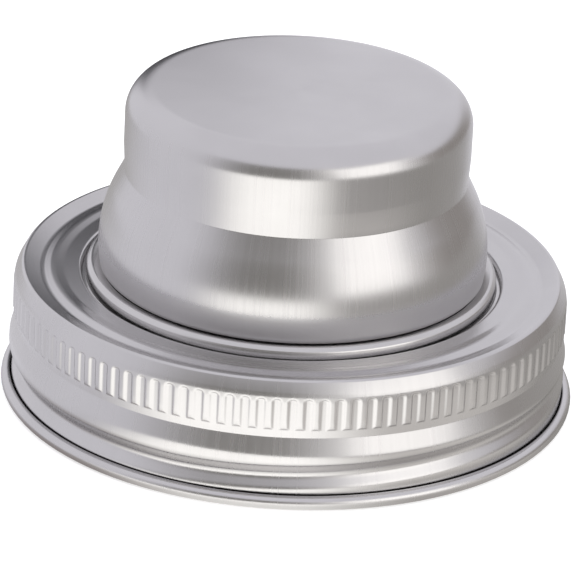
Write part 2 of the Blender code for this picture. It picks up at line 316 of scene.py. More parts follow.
surround = bpy.data.worlds.new("studio_room")
bpy.context.scene.world = surround
surround.use_nodes = True
tree = surround.node_tree
tree.nodes.clear()
ray = tree.nodes.new("ShaderNodeLightPath")
place = tree.nodes.new("ShaderNodeTexCoord")
parts = tree.nodes.new("ShaderNodeSeparateXYZ")
connect(tree, place.outputs["Generated"], parts.inputs["Vector"])
azimuth = azimuth_of(tree, parts.outputs["X"], parts.outputs["Y"])
elevation = arithmetic(tree, "ARCSINE", parts.outputs["Z"])
plain_above, low_plain_above = (
    smooth_between(tree, elevation, radians(top - DARK_TOP_SOFTNESS), radians(top + DARK_TOP_SOFTNESS))
    for top in (DARK_TOP, LOW_DARK_TOP)
)
low_plain = arithmetic(tree, "MULTIPLY", low_plain_above, in_sector(tree, azimuth, LOW_DARK_SECTOR))
plain = arithmetic(tree, "MAXIMUM", plain_above, low_plain)
room_light = tree.nodes.new("ShaderNodeBackground")
walls = blend_colours(tree, plain, room_at_lid_height(tree, azimuth), ROOM_GREY)
connect(tree, walls, room_light.inputs["Color"])
backdrop = tree.nodes.new("ShaderNodeBackground")
backdrop.inputs["Color"].default_value = WHITE
choose_shader(
    tree,
    ray.outputs["Is Camera Ray"],
    room_light.outputs["Background"],
    backdrop.outputs["Background"],
    "ShaderNodeOutputWorld",
)


def soft_lamp(name, azimuth, elevation, distance, width, height, watts, colour):
    """A flat lamp that faces the lid and is itself never in the picture."""
    lamp_data = bpy.data.lights.new(name, "AREA")
    lamp_data.shape = "RECTANGLE"
    lamp_data.size = width
    lamp_data.size_y = height
    lamp_data.energy = watts
    lamp_data.color = colour
    lamp = bpy.data.objects.new(name, lamp_data)
    away = Vector((sin(azimuth) * cos(elevation), -cos(azimuth) * cos(elevation), sin(elevation)))
    lamp.location = away * distance
    lamp.rotation_euler = away.to_track_quat("Z", "Y").to_euler()
    lamp.visible_camera = False
    bpy.context.scene.collection.objects.link(lamp)
    return lamp


soft_lamp(
    "broad_lamp",
    LAMP_AZIMUTH,
    LAMP_ELEVATION,
    LAMP_DISTANCE,
    LAMP_WIDTH,
    LAMP_HEIGHT,
    LAMP_WATTS,
    LAMP_COLOUR,
)
overhead = soft_lamp(
    "overhead_fill", 0.0, FILL_ELEVATION, FILL_DISTANCE, FILL_SIDE, FILL_SIDE, FILL_WATTS, WHITE[:3]
)
overhead.visible_glossy = False

# A dark card with soft edges stands behind the lid on the left, and shows only where metal mirrors it
left, right = CARD_SIDES
foot, head = CARD_ENDS
card_mesh = bpy.data.meshes.new("dark_card")
card_mesh.from_pydata(
    [(x, CARD_BEHIND, z) for x, z in ((left, foot), (right, foot), (right, head), (left, head))],
    [],
    [(0, 1, 2, 3)],
)
dark_card = bpy.data.objects.new("dark_card", card_mesh)
bpy.context.scene.collection.objects.link(dark_card)
card_finish = blank_material("dark_card_paper")
tree = card_finish.node_tree
x, y, z = object_place(tree)
from_left = smooth_between(tree, x, *CARD_FADES["left"])
to_right = smooth_between(tree, x, *CARD_FADES["right"], 1.0, 0.0)
from_foot = smooth_between(tree, z, *CARD_FADES["foot"])
to_head = smooth_between(tree, z, *CARD_FADES["head"], 1.0, 0.0)
cover = arithmetic(tree, "MULTIPLY", from_left, to_right)
cover = arithmetic(tree, "MULTIPLY", cover, arithmetic(tree, "MULTIPLY", from_foot, to_head))
paper = tree.nodes.new("ShaderNodeEmission")
paper.inputs["Color"].default_value = CARD_COLOUR
clear = tree.nodes.new("ShaderNodeBsdfTransparent")
choose_shader(tree, cover, clear.outputs["BSDF"], paper.outputs["Emission"], "ShaderNodeOutputMaterial")
card_mesh.materials.append(card_finish)
dark_card.visible_camera = False
dark_card.visible_shadow = False
dark_card.visible_diffuse = False


# Screw band
# The standard threaded band of a preserving jar, pressed from thin tinned or stainless sheet:
# open on top, with pressed rings, a knurled belt, a rolled thread and an edge curled outwards.

BAND_SHEET = 0.0004
BAND_RADIUS = 0.0363
BAND_HEIGHT = 0.0170
LIP_HEIGHT = 0.0165
HOLE_RADIUS = 0.0275
SHOULDER_FOOT = 0.0142
BELT_HEAD = 0.01545
BELT_FOOT = 0.0110
RIB_COUNT = 114
FLUTE_DEPTH = 0.00028
FLUTE_TOP = 0.01488
BELT_PROUD = 0.0001
BELT_BLEND = 0.0009
FLUTE_WIDTH = 0.00102
FLUTE_END_CRISPNESS = 1.5
FLUTE_SOFTNESS = 0.5
FLUTE_TURN = 0.535
BELT_COLUMNS_PER_RIB = 16
FINE_STRIP_ROWS = 10
FINE_STEP = 0.00014
BELT_STEP = 0.0012
GROOVE_STEP = 0.00022
STRIP_FOOT = 0.0094
WALL_COLUMNS = 228
INSIDE_COLUMNS = 114
THREAD_PITCH = 0.00635
THREAD_HEIGHT = 0.00399
THREAD_START = radians(-140.0)
THREAD_LEAD = radians(118.0)
THREAD_SWEEP = radians(245.0)
THREAD_FADE = radians(40.0)
CURL_HOLLOW = 0.000525
CURL_RADIUS = CURL_HOLLOW + BAND_SHEET
CURL_CENTRE = BAND_RADIUS + CURL_HOLLOW
CURL_TURNS = 20
CURL_TURN = radians(15.0)
ROWS_OVER_THREAD = 12
ROWS_UNDER_THREAD = 6
CRISP_EDGE = radians(40.0)


def bent(corners, step=8.0):
    """A path of (radius, height) points through corners (radius, height, bend), each bend an arc."""
    points = [corners[0][:2]]
    for before, here, after in zip(corners, corners[1:], corners[2:]):
        come = Vector((here[0] - before[0], here[1] - before[1]))
        leave = Vector((after[0] - here[0], after[1] - here[1]))
        angle = come.angle_signed(leave, 0.0)
        if here[2] <= 0.0 or abs(angle) < 0.01:
            points.append(here[:2])
            continue
        room = min(come.length, leave.length) * 0.49
        cut = min(here[2] * tan(abs(angle) / 2.0), room)
        radius = cut / tan(abs(angle) / 2.0)
        come.normalize()
        leave.normalize()
        start = Vector(here[:2]) - come * cut
        inward = Vector((-come.y, come.x)) * (-1.0 if angle > 0.0 else 1.0)
        centre = start + inward * radius
        count = max(2, ceil(abs(angle) / radians(step)))
        spoke = start - centre
        for index in range(count + 1):
            turned_spoke = spoke.copy()
            turned_spoke.rotate(Matrix.Rotation(-angle * index / count, 2))
            points.append(tuple(centre + turned_spoke))
    points.append(corners[-1][:2])
    return points


def refined(path, longest):
    """The same path with no step longer than a given length."""
    points = [path[0]]
    for before, here in zip(path, path[1:]):
        length = (Vector(here) - Vector(before)).length
        count = max(1, ceil(length / longest))
        for index in range(1, count + 1):
            share = index / count
            points.append(
                (before[0] + (here[0] - before[0]) * share, before[1] + (here[1] - before[1]) * share)
            )
    return points


def other_side(path, thickness):
    """The sheet's other face, on the right of the path, or on its left if the thickness is negative."""
    points = []
    for index, here in enumerate(path):
        before = path[max(index - 1, 0)]
        after = path[min(index + 1, len(path) - 1)]
        headings = [
            atan2(second[1] - first[1], second[0] - first[0])
            for first, second in ((before, here), (here, after))
            if first != second
        ]
        turn = (headings[-1] - headings[0] + pi) % tau - pi
        normal = headings[0] + turn / 2.0 - pi / 2.0
        reach = thickness / max(cos(turn / 2.0), 0.3)
        points.append((here[0] + reach * cos(normal), here[1] + reach * sin(normal)))
    return points


def add_rings(mesh, path_at, counts):
    """A ring of corners for each point of a path, which may change round the axis."""
    paths = {}
    for count in set(counts):
        paths[count] = [path_at(tau * index / count) for index in range(count)]
    rings = []
    for row, count in enumerate(counts):
        ring = []
        for index in range(count):
            radius, height = paths[count][index][row]
            angle = tau * index / count
            ring.append(mesh.verts.new((radius * sin(angle), -radius * cos(angle), height)))
        rings.append(ring)
    return rings


def join_rings(mesh, first, second):
    """Quads between equal rings, and fans of triangles where one ring is finer."""
    if len(first) == len(second):
        count = len(first)
        for i in range(count):
            j = (i + 1) % count
            mesh.faces.new((first[i], first[j], second[j], second[i]))
        return
    i = 0
    j = 0
    while i < len(first) or j < len(second):
        if (i + 1) * len(second) <= (j + 1) * len(first):
            mesh.faces.new((first[i], first[(i + 1) % len(first)], second[j % len(second)]))
            i += 1
        else:
            mesh.faces.new((first[i % len(first)], second[(j + 1) % len(second)], second[j]))
            j += 1


def turned_piece(name, near, far, near_counts, far_counts, closed_middle):
    """A sheet piece from the paths of its two faces, joined at its edges."""
    mesh = bmesh.new()
    near_rings = add_rings(mesh, near, near_counts)
    far_rings = add_rings(mesh, far, far_counts)
    for rings in (near_rings, far_rings):
        for first, second in zip(rings, rings[1:]):
            join_rings(mesh, first, second)
    join_rings(mesh, near_rings[0], far_rings[0])
    if closed_middle:
        mesh.faces.new(near_rings[-1])
        mesh.faces.new(far_rings[-1])
    else:
        join_rings(mesh, near_rings[-1], far_rings[-1])
    bmesh.ops.recalc_face_normals(mesh, faces=mesh.faces)
    data = bpy.data.meshes.new(name)
    mesh.to_mesh(data)
    mesh.free()
    data.shade_smooth()
    data.set_sharp_from_angle(angle=CRISP_EDGE)
    piece = bpy.data.objects.new(name, data)
    bpy.context.scene.collection.objects.link(piece)
    return piece


def thread_climb(angle):
    """How far the thread has climbed; past its end the wall settles back to its start."""
    turn = (angle - THREAD_START) % tau
    if turn <= THREAD_SWEEP:
        return THREAD_PITCH * max(turn - THREAD_LEAD, 0.0) / tau
    end = THREAD_PITCH * (THREAD_SWEEP - THREAD_LEAD) / tau
    return end * (tau - turn) / (tau - THREAD_SWEEP)


def thread_share(angle):
    """1 along the thread, running out smoothly to nothing at both ends."""
    turn = (angle - THREAD_START) % tau
    along = min(turn, THREAD_SWEEP - turn) / THREAD_FADE
    along = min(max(along, 0.0), 1.0)
    return along * along * (3.0 - 2.0 * along)


def radius_on(path, height):
    """The radius of a path that only goes down, at a height."""
    for before, here in zip(path, path[1:]):
        if here[1] <= height:
            share = (before[1] - height) / max(before[1] - here[1], 1e-9)
            return before[0] + (here[0] - before[0]) * min(max(share, 0.0), 1.0)
    return path[-1][0]


# The rings pressed in the top: a bead between two shallow hollows, then the crown
top_corners = [
    (HOLE_RADIUS, LIP_HEIGHT - 0.00038, 0.0),
    (HOLE_RADIUS + 0.0003, LIP_HEIGHT + 0.00002, 0.0008),
    (0.0299, LIP_HEIGHT - 0.00004, 0.0020),
    (0.0309, LIP_HEIGHT + 0.00016, 0.0016),
    (0.0315, LIP_HEIGHT + 0.00018, 0.0016),
    (0.0327, LIP_HEIGHT - 0.00016, 0.0012),
    (0.03525, BAND_HEIGHT + 0.00034, 0.0005),
    (BAND_RADIUS - 0.00006, 0.01548, 0.0016),
    (BAND_RADIUS, SHOULDER_FOOT, 0.0),
]
pressed_path = bent(top_corners, 5.0)
top_path = [point for point in pressed_path if point[1] > BELT_HEAD]
belt_path = refined([point for point in pressed_path if point[1] <= BELT_HEAD], FINE_STEP)
belt_path += refined([belt_path[-1], (BAND_RADIUS, BELT_FOOT)], BELT_STEP)[1:]
belt_path = [
    (radius + BELT_PROUD * min(max((BELT_HEAD - height) / BELT_BLEND, 0.0), 1.0), height)
    for radius, height in belt_path
]

# Under the belt: a strip that sinks in, the crease, a cone, and a swell above the thread
under_belt = bent(
    [
        (BAND_RADIUS + BELT_PROUD, BELT_FOOT, 0.0),
        (BAND_RADIUS - 0.00016, 0.01064, 0.0004),
        (BAND_RADIUS - 0.00034, 0.00956, 0.0003),
        (BAND_RADIUS + 0.00046, 0.00720, 0.0016),
        (BAND_RADIUS + 0.00050, 0.00635, 0.0024),
        (BAND_RADIUS + 0.00044, 0.00560, 0.0040),
        (BAND_RADIUS + 0.00014, 0.00240, 0.0050),
        (BAND_RADIUS + 0.00014, 0.00165, 0.0010),
        (BAND_RADIUS, 0.0010, 0.0),
    ],
    4.0,
)
crease_path = refined([point for point in under_belt if point[1] > STRIP_FOOT - 0.0002], FINE_STEP)[1:]
smooth_wall = [point for point in under_belt if point[1] < STRIP_FOOT + 0.0002]

# The thread's section: how far it sinks in, and how far above its root
groove_corners = [
    (0.0, 0.00215, 0.0),
    (0.00004, 0.00165, 0.0012),
    (0.00120, -0.00010, 0.0011),
    (0.00008, -0.00175, 0.0010),
    (0.0, -0.00215, 0.0),
]
groove_path = refined(bent(groove_corners, 9.0), GROOVE_STEP)
curl_angles = [pi + CURL_TURN * step for step in range(CURL_TURNS)]
curl_path = [
    (CURL_CENTRE + CURL_HOLLOW * cos(angle), CURL_RADIUS + CURL_HOLLOW * sin(angle))
    for angle in curl_angles
]


def wall_path(angle):
    """From under the crease down over the thread to the curl."""
    root = THREAD_HEIGHT + thread_climb(angle)
    share = thread_share(angle)
    high, low = crease_path[-1][1], root + groove_path[0][1]
    rows = ROWS_OVER_THREAD
    heights = [(high + (low - high) * step / rows, 0.0) for step in range(1, rows)]
    heights += [(root + above, sunk * share) for sunk, above in groove_path]
    high, low = heights[-1][0], CURL_RADIUS
    rows = ROWS_UNDER_THREAD
    heights += [(high + (low - high) * step / rows, 0.0) for step in range(1, rows)]
    return [(radius_on(smooth_wall, height) - sunk, height) for height, sunk in heights]


def band_near(angle):
    return top_path + belt_path + crease_path + wall_path(angle) + curl_path


def band_far(angle):
    return other_side(band_near(angle), BAND_SHEET)


first_belt_row = len(top_path)
last_belt_row = first_belt_row + len(belt_path) + FINE_STRIP_ROWS
row_count = len(band_near(0.0))
near_counts = [WALL_COLUMNS] * row_count
for row in range(first_belt_row, last_belt_row):
    near_counts[row] = RIB_COUNT * BELT_COLUMNS_PER_RIB
screw_band = turned_piece(
    "screw_band_detailed", band_near, band_far, near_counts, [INSIDE_COLUMNS] * row_count, False
)

# The knurl: between each two ribs a flute with a round top, pressed in along the radius and
# running out at its foot where the strip under the belt sinks as deep
knurl = bpy.data.node_groups.new("knurled_belt", "GeometryNodeTree")
knurl.interface.new_socket("Geometry", in_out="INPUT", socket_type="NodeSocketGeometry")
knurl_sizes = {
    "Ribs Round The Band": float(RIB_COUNT),
    "Flute Depth": FLUTE_DEPTH,
    "Flute Width": FLUTE_WIDTH,
    "Flute Top": FLUTE_TOP,
    "End Crispness": FLUTE_END_CRISPNESS,
    "Edge Softness": FLUTE_SOFTNESS,
    "Belt Proud": BELT_PROUD,
    "Belt Foot": BELT_FOOT,
    "Strip Foot": STRIP_FOOT,
    "Turn In Ribs": FLUTE_TURN,
    "Belt Radius": BAND_RADIUS,
}
for label in knurl_sizes:
    knurl.interface.new_socket(label, in_out="INPUT", socket_type="NodeSocketFloat")
knurl.interface.new_socket("Finish", in_out="INPUT", socket_type="NodeSocketMaterial")
knurl.interface.new_socket("Geometry", in_out="OUTPUT", socket_type="NodeSocketGeometry")
given = knurl.nodes.new("NodeGroupInput")
result = knurl.nodes.new("NodeGroupOutput")
size = given.outputs
where = knurl.nodes.new("GeometryNodeInputPosition")
parts = knurl.nodes.new("ShaderNodeSeparateXYZ")
connect(knurl, where.outputs["Position"], parts.inputs["Vector"])
x, y, z = parts.outputs
flat = knurl.nodes.new("ShaderNodeCombineXYZ")
connect(knurl, x, flat.inputs["X"])
connect(knurl, y, flat.inputs["Y"])
outward = knurl.nodes.new("ShaderNodeVectorMath")
outward.operation = "NORMALIZE"
connect(knurl, flat.outputs["Vector"], outward.inputs[0])
radius_node = knurl.nodes.new("ShaderNodeVectorMath")
radius_node.operation = "LENGTH"
connect(knurl, flat.outputs["Vector"], radius_node.inputs[0])
radius = radius_node.outputs["Value"]

# How far a point is from the middle line of its flute, round the band and past the flute's top
ribs_along = arithmetic(knurl, "DIVIDE", azimuth_of(knurl, x, y), tau)
ribs_along = arithmetic(knurl, "MULTIPLY", ribs_along, size["Ribs Round The Band"])
ribs_along = arithmetic(knurl, "SUBTRACT", ribs_along, size["Turn In Ribs"])
phase = arithmetic(knurl, "FRACT", arithmetic(knurl, "ADD", ribs_along, 0.5))
pitch = arithmetic(knurl, "MULTIPLY", size["Belt Radius"], tau)
pitch = arithmetic(knurl, "DIVIDE", pitch, size["Ribs Round The Band"])
across = arithmetic(knurl, "MULTIPLY", arithmetic(knurl, "SUBTRACT", phase, 0.5), pitch)
half_width = arithmetic(knurl, "MULTIPLY", size["Flute Width"], 0.5)
end_length = arithmetic(knurl, "DIVIDE", half_width, size["End Crispness"])
bar_top = arithmetic(knurl, "SUBTRACT", size["Flute Top"], end_length)
beyond = arithmetic(knurl, "MAXIMUM", arithmetic(knurl, "SUBTRACT", z, bar_top), 0.0)
along = arithmetic(knurl, "MULTIPLY", beyond, size["End Crispness"])
from_middle_line = distance_from_axis(knurl, across, along)

# How deep the sheet is pressed there, less what the strip has sunk, and only on its outer face
softness = arithmetic(knurl, "MULTIPLY", half_width, size["Edge Softness"])
inner_edge = arithmetic(knurl, "SUBTRACT", half_width, softness)
outer_edge = arithmetic(knurl, "ADD", half_width, softness)
pressed = smooth_between(knurl, from_middle_line, inner_edge, outer_edge, 1.0, 0.0)
belt_face = arithmetic(knurl, "ADD", size["Belt Radius"], size["Belt Proud"])
sunk = arithmetic(knurl, "SUBTRACT", belt_face, radius)
sunk = arithmetic(knurl, "MULTIPLY", sunk, arithmetic(knurl, "LESS_THAN", z, size["Belt Foot"]))
depth = arithmetic(knurl, "MULTIPLY", pressed, size["Flute Depth"])
depth = arithmetic(knurl, "MAXIMUM", arithmetic(knurl, "SUBTRACT", depth, sunk), 0.0)
sheet_middle = arithmetic(knurl, "SUBTRACT", size["Belt Radius"], BAND_SHEET * 0.6)
depth = arithmetic(knurl, "MULTIPLY", depth, arithmetic(knurl, "GREATER_THAN", radius, sheet_middle))
depth = arithmetic(knurl, "MULTIPLY", depth, arithmetic(knurl, "GREATER_THAN", z, size["Strip Foot"]))
push = knurl.nodes.new("ShaderNodeVectorMath")
push.operation = "SCALE"
connect(knurl, outward.outputs["Vector"], push.inputs[0])
connect(knurl, arithmetic(knurl, "MULTIPLY", depth, -1.0), push.inputs["Scale"])
press_flutes = knurl.nodes.new("GeometryNodeSetPosition")
connect(knurl, size["Geometry"], press_flutes.inputs["Geometry"])
connect(knurl, push.outputs["Vector"], press_flutes.inputs["Offset"])
whole = knurl.nodes.new("GeometryNodeRealizeInstances")
connect(knurl, press_flutes.outputs["Geometry"], whole.inputs["Geometry"])
dress = knurl.nodes.new("GeometryNodeSetMaterial")
connect(knurl, whole.outputs["Geometry"], dress.inputs["Geometry"])
connect(knurl, size["Finish"], dress.inputs["Material"])
connect(knurl, dress.outputs["Geometry"], result.inputs["Geometry"])

STEEL_NOISE_SCALE = 90.0
STREAK_RELIEF = 0.00002
STREAK_ROUGHNESS = 0.07
CLOUD_DARK = 0.97
CLOUD_LIGHT = 1.02
# The colour of the painted shade in the band's curl channel
CHANNEL_SHADE = (0.05, 0.047, 0.045, 1.0)
DULL_FOOT_FADE = 0.0015
DULL_FOOT_ROUGHNESS = 0.17


def brushed_steel(name, colour, roughness, anisotropy, streak_strength, streak_stretch, shaded_channel, dull_foot):
    """Satin stainless steel: fine streaks and cloudy patches in colour, roughness and relief.

    The channel shade, given as (radius, height), is painted shade: darker inside that radius and under that
    height.
    """
    finish = bpy.data.materials.new(name)
    finish.use_nodes = True
    tree = finish.node_tree
    shader = tree.nodes["Principled BSDF"]
    shader.inputs["Metallic"].default_value = 1.0
    shader.inputs["Anisotropic"].default_value = anisotropy
    x, y, z = object_place(tree)
    turn = azimuth_of(tree, x, y)
    unrolled = tree.nodes.new("ShaderNodeCombineXYZ")
    connect(tree, arithmetic(tree, "SINE", turn), unrolled.inputs["X"])
    connect(tree, arithmetic(tree, "COSINE", turn), unrolled.inputs["Y"])
    connect(tree, arithmetic(tree, "MULTIPLY", z, streak_stretch), unrolled.inputs["Z"])
    streaks = tree.nodes.new("ShaderNodeTexNoise")
    streaks.inputs["Scale"].default_value = STEEL_NOISE_SCALE
    streaks.inputs["Detail"].default_value = 3.0
    connect(tree, unrolled.outputs["Vector"], streaks.inputs["Vector"])
    clouds = tree.nodes.new("ShaderNodeTexNoise")
    clouds.inputs["Scale"].default_value = STEEL_NOISE_SCALE
    clouds.inputs["Detail"].default_value = 4.0
    place = tree.nodes.new("ShaderNodeTexCoord")
    connect(tree, place.outputs["Object"], clouds.inputs["Vector"])
    darker = tuple(c * CLOUD_DARK for c in colour) + (1.0,)
    lighter = tuple(min(c * CLOUD_LIGHT, 1.0) for c in colour) + (1.0,)
    mixed = smooth_between(tree, clouds.outputs["Fac"], 0.3, 0.7)
    metal = blend_colours(tree, mixed, darker, lighter)
    # Painted shade in the hollow of the curl and at the foot of the wall
    if shaded_channel:
        out_to, up_to = shaded_channel
        radius = distance_from_axis(tree, x, y)
        within = smooth_between(tree, radius, out_to - 0.00008, out_to + 0.00008, 1.0, 0.0)
        below = smooth_between(tree, z, up_to - 0.00015, up_to + 0.00015, 1.0, 0.0)
        metal = blend_colours(tree, arithmetic(tree, "MULTIPLY", within, below), metal, CHANNEL_SHADE)
    connect(tree, metal, shader.inputs["Base Color"])
    facing = tree.nodes.new("ShaderNodeNewGeometry")
    tilt = tree.nodes.new("ShaderNodeSeparateXYZ")
    connect(tree, facing.outputs["Normal"], tilt.inputs["Vector"])
    level = arithmetic(tree, "ABSOLUTE", tilt.outputs["Z"])
    on_walls = smooth_between(tree, level, 0.35, 0.8, 1.0, 0.0)
    base = roughness
    if dull_foot:
        foot_end = dull_foot + DULL_FOOT_FADE
        base = smooth_between(tree, z, dull_foot, foot_end, roughness + DULL_FOOT_ROUGHNESS, roughness)
    rough = smooth_between(tree, streaks.outputs["Fac"], 0.3, 0.7, -STREAK_ROUGHNESS, STREAK_ROUGHNESS)
    rough = arithmetic(tree, "MULTIPLY_ADD", rough, arithmetic(tree, "MULTIPLY", on_walls, roughness), base)
    connect(tree, rough, shader.inputs["Roughness"])
    relief = tree.nodes.new("ShaderNodeBump")
    relief.inputs["Strength"].default_value = streak_strength
    relief.inputs["Distance"].default_value = STREAK_RELIEF
    connect(tree, arithmetic(tree, "MULTIPLY", streaks.outputs["Fac"], on_walls), relief.inputs["Height"])
    connect(tree, relief.outputs["Normal"], shader.inputs["Normal"])
    if anisotropy > 0.0:
        grain = tree.nodes.new("ShaderNodeTangent")
        grain.direction_type = "RADIAL"
        grain.axis = "Z"
        connect(tree, grain.outputs["Tangent"], shader.inputs["Tangent"])
    return finish


band_steel = brushed_steel(
    "band_satin_steel",
    colour=(0.60, 0.59, 0.595),
    roughness=0.26,
    anisotropy=0.0,
    streak_strength=0.08,
    streak_stretch=0.4,
    # Painted shade inside the curl's channel and at the wall's foot
    shaded_channel=(0.03674, 0.0019),
    dull_foot=0.0,
)


def apply_tree(piece, group, inputs):
    """Runs a node tree on a piece and keeps its result as the piece's plain mesh."""
    maker = piece.modifiers.new(group.name, "NODES")
    maker.node_group = group
    for item in group.interface.items_tree:
        if item.item_type == "SOCKET" and item.in_out == "INPUT" and item.name in inputs:
            maker[item.identifier] = inputs[item.name]
    bpy.context.view_layer.update()
    evaluated = piece.evaluated_get(bpy.context.evaluated_depsgraph_get())
    made = bpy.data.meshes.new_from_object(evaluated)
    piece.modifiers.remove(maker)
    piece.data = made
    made.name = piece.name
    return piece


apply_tree(screw_band, knurl, {**knurl_sizes, "Finish": band_steel})
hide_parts("screw_band")
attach(screw_band, "band")


# Strainer lid
# The sheet insert that the band clamps on the jar: a skirted flange, a raised seat whose
# rounded edge shows inside the band, and a collar with a dished, perforated panel under the cap.

LID_SHEET = 0.0005
LID_COLUMNS = 192
FLANGE_RADIUS = 0.0342
FLANGE_HEIGHT = 0.0157
FLANGE_SKIRT = 0.0019
SEAT_RADIUS = 0.02694
SEAT_HEIGHT = 0.01737
SEAT_RIM = 0.0263
SEAT_VALLEY = 0.0253
SEAT_VALLEY_RISE = 0.00008
COLLAR_RADIUS = 0.02403
COLLAR_TOP = 0.0239
DISH_RADIUS = 0.0208
PANEL_HEIGHT = 0.0227
PANEL_EDGE = 0.0180
HOLE_DIAMETER = 0.0030
HOLE_SPACING = 0.0050
HOLE_RINGS = 3
HOLE_FACETS = 24

lid_path = bent(
    [
        (FLANGE_RADIUS, FLANGE_HEIGHT - FLANGE_SKIRT, 0.0),
        (FLANGE_RADIUS, FLANGE_HEIGHT, 0.0007),
        (SEAT_RADIUS + 0.00005, FLANGE_HEIGHT, 0.0001),
        (SEAT_RADIUS - 0.00005, 0.01718, 0.0005),
        (SEAT_RIM, SEAT_HEIGHT + 0.00035, 0.0005),
        (SEAT_VALLEY, SEAT_HEIGHT + SEAT_VALLEY_RISE, 0.0006),
        (COLLAR_RADIUS, SEAT_HEIGHT + SEAT_VALLEY_RISE, 0.0004),
        (COLLAR_RADIUS, COLLAR_TOP, 0.0014),
        (DISH_RADIUS, COLLAR_TOP, 0.0010),
        (DISH_RADIUS - 0.0014, PANEL_HEIGHT, 0.0010),
        (PANEL_EDGE, PANEL_HEIGHT, 0.0),
    ]
)
lid_inside = other_side(lid_path, -LID_SHEET)
strainer_lid = turned_piece(
    "strainer_lid_detailed",
    lambda angle: lid_path,
    lambda angle: lid_inside,
    [LID_COLUMNS] * len(lid_path),
    [LID_COLUMNS] * len(lid_path),
    True,
)
lid_steel = brushed_steel(
    "lid_satin_steel",
    colour=(0.60, 0.59, 0.59),
    roughness=0.24,
    anisotropy=0.0,
    streak_strength=0.1,
    streak_stretch=0.4,
    shaded_channel=None,
    dull_foot=0.0,
)

# The strainer's holes: one in the middle and rings of six, twelve and eighteen round it
perforation = bpy.data.node_groups.new("strainer_holes", "GeometryNodeTree")
perforation.interface.new_socket("Geometry", in_out="INPUT", socket_type="NodeSocketGeometry")
hole_sizes = {
    "Hole Diameter": HOLE_DIAMETER,
    "Hole Spacing": HOLE_SPACING,
    "Panel Height": PANEL_HEIGHT,
    "Sheet": LID_SHEET,
}
for label in hole_sizes:
    perforation.interface.new_socket(label, in_out="INPUT", socket_type="NodeSocketFloat")
perforation.interface.new_socket("Finish", in_out="INPUT", socket_type="NodeSocketMaterial")
perforation.interface.new_socket("Geometry", in_out="OUTPUT", socket_type="NodeSocketGeometry")
given = perforation.nodes.new("NodeGroupInput")
result = perforation.nodes.new("NodeGroupOutput")
all_places = perforation.nodes.new("GeometryNodeJoinGeometry")
middle_place = perforation.nodes.new("GeometryNodePoints")
middle_place.inputs["Count"].default_value = 1
connect(perforation, middle_place.outputs[0], all_places.inputs["Geometry"])
for ring in range(1, HOLE_RINGS + 1):
    circle = perforation.nodes.new("GeometryNodeMeshCircle")
    circle.inputs["Vertices"].default_value = 6 * ring
    ring_radius = arithmetic(perforation, "MULTIPLY", given.outputs["Hole Spacing"], float(ring))
    connect(perforation, ring_radius, circle.inputs["Radius"])
    places = perforation.nodes.new("GeometryNodeMeshToPoints")
    connect(perforation, circle.outputs["Mesh"], places.inputs["Mesh"])
    connect(perforation, places.outputs[0], all_places.inputs["Geometry"])
drill = perforation.nodes.new("GeometryNodeMeshCylinder")
drill.inputs["Vertices"].default_value = HOLE_FACETS
hole_radius = arithmetic(perforation, "MULTIPLY", given.outputs["Hole Diameter"], 0.5)
drill_length = arithmetic(perforation, "MULTIPLY", given.outputs["Sheet"], 4.0)
connect(perforation, hole_radius, drill.inputs["Radius"])
connect(perforation, drill_length, drill.inputs["Depth"])
drills = perforation.nodes.new("GeometryNodeInstanceOnPoints")
connect(perforation, all_places.outputs["Geometry"], drills.inputs["Points"])
connect(perforation, drill.outputs["Mesh"], drills.inputs["Instance"])
lifted = perforation.nodes.new("GeometryNodeTransform")
lift = perforation.nodes.new("ShaderNodeCombineXYZ")
sheet, panel_height = given.outputs["Sheet"], given.outputs["Panel Height"]
middle_height = arithmetic(perforation, "MULTIPLY_ADD", sheet, -0.5, panel_height)
connect(perforation, middle_height, lift.inputs["Z"])
connect(perforation, drills.outputs["Instances"], lifted.inputs["Geometry"])
connect(perforation, lift.outputs["Vector"], lifted.inputs["Translation"])
whole = perforation.nodes.new("GeometryNodeRealizeInstances")
connect(perforation, lifted.outputs["Geometry"], whole.inputs["Geometry"])
punched = perforation.nodes.new("GeometryNodeMeshBoolean")
punched.operation = "DIFFERENCE"
connect(perforation, given.outputs["Geometry"], punched.inputs["Mesh 1"])
connect(perforation, whole.outputs["Geometry"], punched.inputs["Mesh 2"])
dress = perforation.nodes.new("GeometryNodeSetMaterial")
connect(perforation, punched.outputs["Mesh"], dress.inputs["Geometry"])
connect(perforation, given.outputs["Finish"], dress.inputs["Material"])
connect(perforation, dress.outputs["Geometry"], result.inputs["Geometry"])
apply_tree(strainer_lid, perforation, {**hole_sizes, "Finish": lid_steel})
strainer_lid.data.shade_smooth()
strainer_lid.data.set_sharp_from_angle(angle=CRISP_EDGE)
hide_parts("strainer_lid")
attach(strainer_lid, "insert")


# Jar seal
# A flat ring of pale silicone rubber that lies in the lid's skirt, under its flange, and is
# pressed on the jar's rim.

SEAL_COLUMNS = 192
SEAL_BORE = 0.0300
SEAL_RADIUS = 0.0334
SEAL_TOP = 0.0149
SEAL_FOOT = 0.0131
SEAL_ROUND = 0.0004
SEAL_JOIN = 0.0316
SEAL_PALE = (0.74, 0.74, 0.72, 1.0)
SEAL_WHITE = (0.84, 0.84, 0.82, 1.0)

